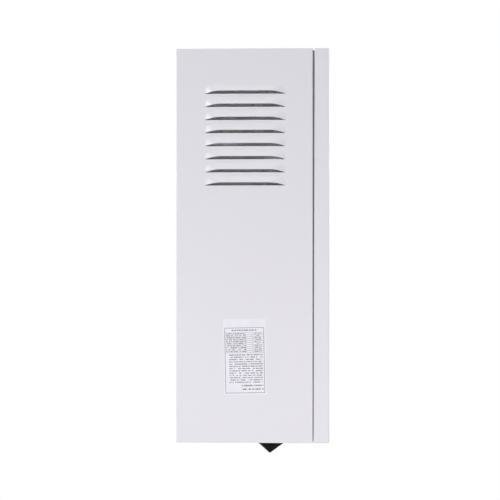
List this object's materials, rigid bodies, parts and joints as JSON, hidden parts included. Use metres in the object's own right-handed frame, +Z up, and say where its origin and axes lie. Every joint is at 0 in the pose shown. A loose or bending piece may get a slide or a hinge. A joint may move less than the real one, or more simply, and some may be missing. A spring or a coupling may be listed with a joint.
{
  "type": "electric wall boiler",
  "caption": "Wall-hung electric boiler: louvred sheet-steel casing with lift-off front cover, heating tank, pump, expansion vessel, safety valve and controls.",
  "frame": {"origin": "on the wall plane, midway between the wall bracket's two screw holes", "axes": "+Z up along the casing's height, +Y into the wall, +X to the right as seen from the front"},
  "size_m": [0.41, 0.252, 0.6726],
  "materials": {
    "casing_coat": "fine satin powder coat, cool white",
    "zinc_steel": "zinc-plated sheet",
    "bolt_steel": "zinc-plated, machined",
    "seal_foam": "closed-cell foam",
    "label_film": "printed film",
    "black_rubber": "moulded, matte",
    "tank_steel": "stainless, welded",
    "jacket_foam": "expanded foam, moulded",
    "gasket_fibre": "pressed fibre",
    "element_sheath": "annealed steel tube",
    "cutout_body": "moulded",
    "red_plastic": "moulded",
    "brass": "machined and cast",
    "copper": "drawn tube",
    "float_plastic": "moulded",
    "sensor_plastic": "moulded",
    "spring_steel": "drawn wire",
    "pump_iron": "cast, painted",
    "motor_paint": "satin paint",
    "rotor_steel": "ground",
    "box_plastic": "moulded",
    "vessel_paint": "gloss paint over pressed steel",
    "sink_aluminium": "extruded",
    "board_green": "solder mask on laminate",
    "part_black": "moulded parts on the board",
    "block_plastic": "moulded",
    "lead_brown": "heat-proof wire insulation",
    "loom_black": "wire sleeve",
    "bezel_plastic": "moulded, gloss",
    "display_glass": "tinted window",
    "key_plastic": "moulded keys"
  },
  "bodies": {
    "casing": {"back_panel": "casing_coat", "left_side_panel": "casing_coat", "right_side_panel": "casing_coat", "top_panel": "casing_coat", "bottom_panel": "casing_coat", "wall_bracket": "zinc_steel", "cover_seal": "seal_foam", "rating_label": "label_film", "cable_grommet": "black_rubber", "tank_shell": "tank_steel", "tank_jacket": "jacket_foam", "tank_bands": "zinc_steel", "heater_flange": "tank_steel", "flange_gasket": "gasket_fibre", "flange_bolts": "bolt_steel", "heating_elements": "element_sheath", "star_strap": "copper", "overheat_cutout": "cutout_body", "vent_tee": "brass", "air_vent_body": "brass", "supply_pipe": "copper", "supply_manifold": "brass", "pressure_sensor": "sensor_plastic", "temperature_sensors": "brass", "safety_valve_body": "brass", "safety_valve_spring": "spring_steel", "return_fitting": "brass", "union_nuts": "brass", "pump_pipe": "copper", "pump_volute": "pump_iron", "pump_motor": "motor_paint", "pump_terminal_box": "box_plastic", "expansion_vessel": "vessel_paint", "vessel_membrane": "black_rubber", "vessel_bracket": "zinc_steel", "vessel_pipe": "copper", "electronics_plate": "zinc_steel", "heatsink": "sink_aluminium", "power_board": "board_green", "board_parts": "part_black", "terminal_block": "block_plastic", "terminal_screws": "bolt_steel", "element_leads": "lead_brown", "signal_loom": "loom_black", "display_bar": "zinc_steel", "control_bezel": "bezel_plastic", "display_lens": "display_glass", "control_board": "board_green"},
    "cover": {"front_cover": "casing_coat", "cover_screws": "bolt_steel"},
    "menu_key": {"key_menu": "key_plastic"},
    "minus_key": {"key_minus": "key_plastic"},
    "plus_key": {"key_plus": "key_plastic"},
    "power_key": {"key_power": "key_plastic"},
    "rotor": {"pump_rotor": "rotor_steel"},
    "speed_knob": {"pump_speed_knob": "red_plastic"},
    "valve_cap": {"safety_valve_cap": "red_plastic"},
    "valve_stem": {"safety_valve_stem": "rotor_steel"},
    "vent_float": {"air_vent_float": "float_plastic"},
    "cutout_reset": {"reset_pin": "red_plastic"}
  },
  "joints": [
    {"name": "cover_removal", "type": "slide", "parent": "casing", "child": "cover", "axis": [0, -1, 0], "range_m": [0, 0.3]},
    {"name": "menu_key_press", "type": "slide", "parent": "casing", "child": "menu_key", "axis": [0, 1, 0], "range_m": [0, 0.0008], "stiffness_N_per_m": 250},
    {"name": "minus_key_press", "type": "slide", "parent": "casing", "child": "minus_key", "axis": [0, 1, 0], "range_m": [0, 0.0008], "stiffness_N_per_m": 250},
    {"name": "plus_key_press", "type": "slide", "parent": "casing", "child": "plus_key", "axis": [0, 1, 0], "range_m": [0, 0.0008], "stiffness_N_per_m": 250},
    {"name": "power_key_press", "type": "slide", "parent": "casing", "child": "power_key", "axis": [0, 1, 0], "range_m": [0, 0.0008], "stiffness_N_per_m": 250},
    {"name": "pump_spin", "type": "hinge", "parent": "casing", "child": "rotor", "pos_m": [-0.02, -0.1, -0.45], "axis": [0, 1, 0], "continuous": true},
    {"name": "pump_speed_turn", "type": "hinge", "parent": "casing", "child": "speed_knob", "pos_m": [0.032, -0.17, -0.44], "axis": [0, -1, 0], "range_deg": [0, 90]},
    {"name": "valve_cap_turn", "type": "hinge", "parent": "casing", "child": "valve_cap", "pos_m": [0.14, -0.08, -0.515], "axis": [1, 0, 0], "range_deg": [0, 90]},
    {"name": "valve_lift", "type": "slide", "parent": "casing", "child": "valve_stem", "axis": [1, 0, 0], "range_m": [0, 0.002], "deforming": ["safety_valve_spring"]},
    {"name": "vent_float_rise", "type": "slide", "parent": "casing", "child": "vent_float", "axis": [0, 0, 1], "range_m": [0, 0.006]},
    {"name": "cutout_reset_press", "type": "slide", "parent": "casing", "child": "cutout_reset", "axis": [0, 0, -1], "range_m": [0, 0.0015], "stiffness_N_per_m": 250}
  ],
  "couplings": [
    {"joint": "valve_lift", "follows": "valve_cap_turn", "m_per_rad": 0.001273}
  ]
}
